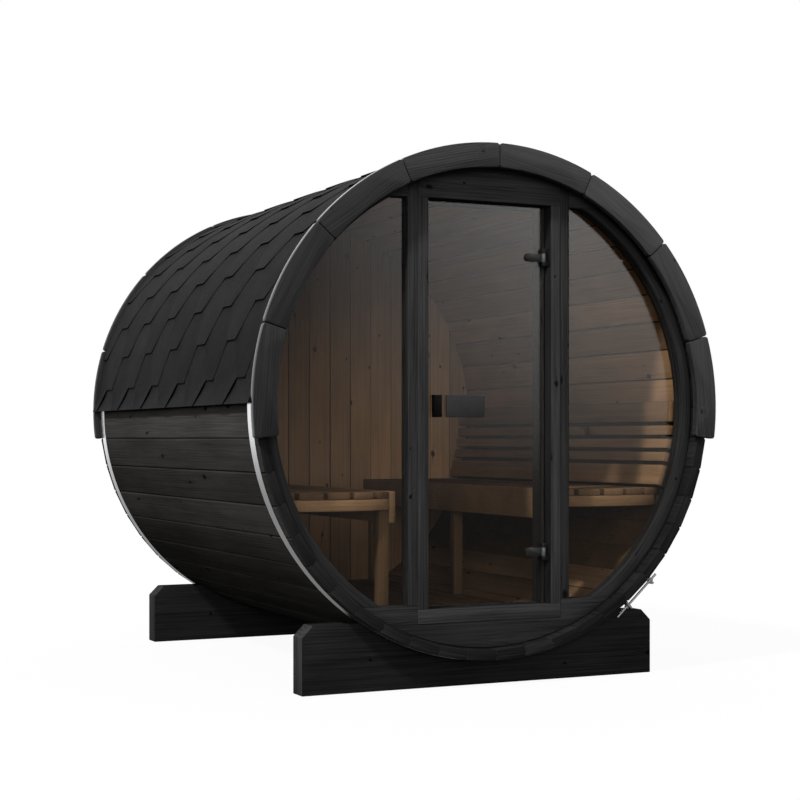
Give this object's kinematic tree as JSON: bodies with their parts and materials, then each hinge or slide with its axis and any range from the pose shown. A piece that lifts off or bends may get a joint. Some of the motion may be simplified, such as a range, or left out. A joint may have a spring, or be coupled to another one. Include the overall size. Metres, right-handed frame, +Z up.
{
  "type": "barrel sauna",
  "caption": "Barrel sauna of black-stained staves on two cradles, with a shingled roof, steel bands, a glazed front wall, a hinged glass door and slatted benches inside.",
  "frame": {"origin": "on the ground, under the middle of the barrel", "axes": "+Y along the barrel from the front to the back, +Z up, +X to the right seen from the front"},
  "size_m": [2.0668, 2.225, 2.126],
  "materials": {
    "black_wood": "spruce with a black stain, matt, grain and knots showing",
    "thermo_wood": "heat-treated wood, brown, matt",
    "shingle": "bitumen shingle with mineral granules, matt",
    "band_steel": "bright stainless strip",
    "window_glass": "bronze-tinted safety glass, polished",
    "black_metal": "black, satin"
  },
  "bodies": {
    "cabin": {"staves_right_upper": "black_wood", "staves_top": "black_wood", "staves_left_upper": "black_wood", "staves_left_lower": "black_wood", "staves_bottom": "black_wood", "staves_right_lower": "black_wood", "fascia_front_right": "black_wood", "fascia_front_left": "black_wood", "fascia_back_right": "black_wood", "fascia_back_left": "black_wood", "cradle_front": "black_wood", "cradle_back": "black_wood", "ring_left": "black_wood", "ring_right": "black_wood", "mullion_left": "black_wood", "mullion_right": "black_wood", "header": "black_wood", "wall_foot": "black_wood", "jamb_left": "black_wood", "jamb_right": "black_wood", "door_sill": "black_wood", "back_wall_left": "thermo_wood", "back_wall_centre": "thermo_wood", "back_wall_right": "thermo_wood", "floor_boards": "thermo_wood", "floor_joists": "thermo_wood", "bench_slats_left": "thermo_wood", "bench_slats_right": "thermo_wood", "bench_frame_left": "thermo_wood", "bench_frame_right": "thermo_wood", "bench_legs": "thermo_wood", "backrest_left": "thermo_wood", "backrest_right": "thermo_wood", "backrest_supports": "thermo_wood", "roof_right": "shingle", "roof_left": "shingle", "band_front": "band_steel", "band_back": "band_steel", "window_left": "window_glass", "window_right": "window_glass", "hinge_brackets": "black_metal"},
    "door": {"door_glass": "window_glass", "door_hinges": "black_metal", "door_handle": "black_metal"}
  },
  "joints": [
    {"name": "door_hinge", "type": "hinge", "parent": "cabin", "child": "door", "pos_m": [0.258, -1.0055, 1.1091], "axis": [0, 0, 1], "range_deg": [0, 110]}
  ]
}
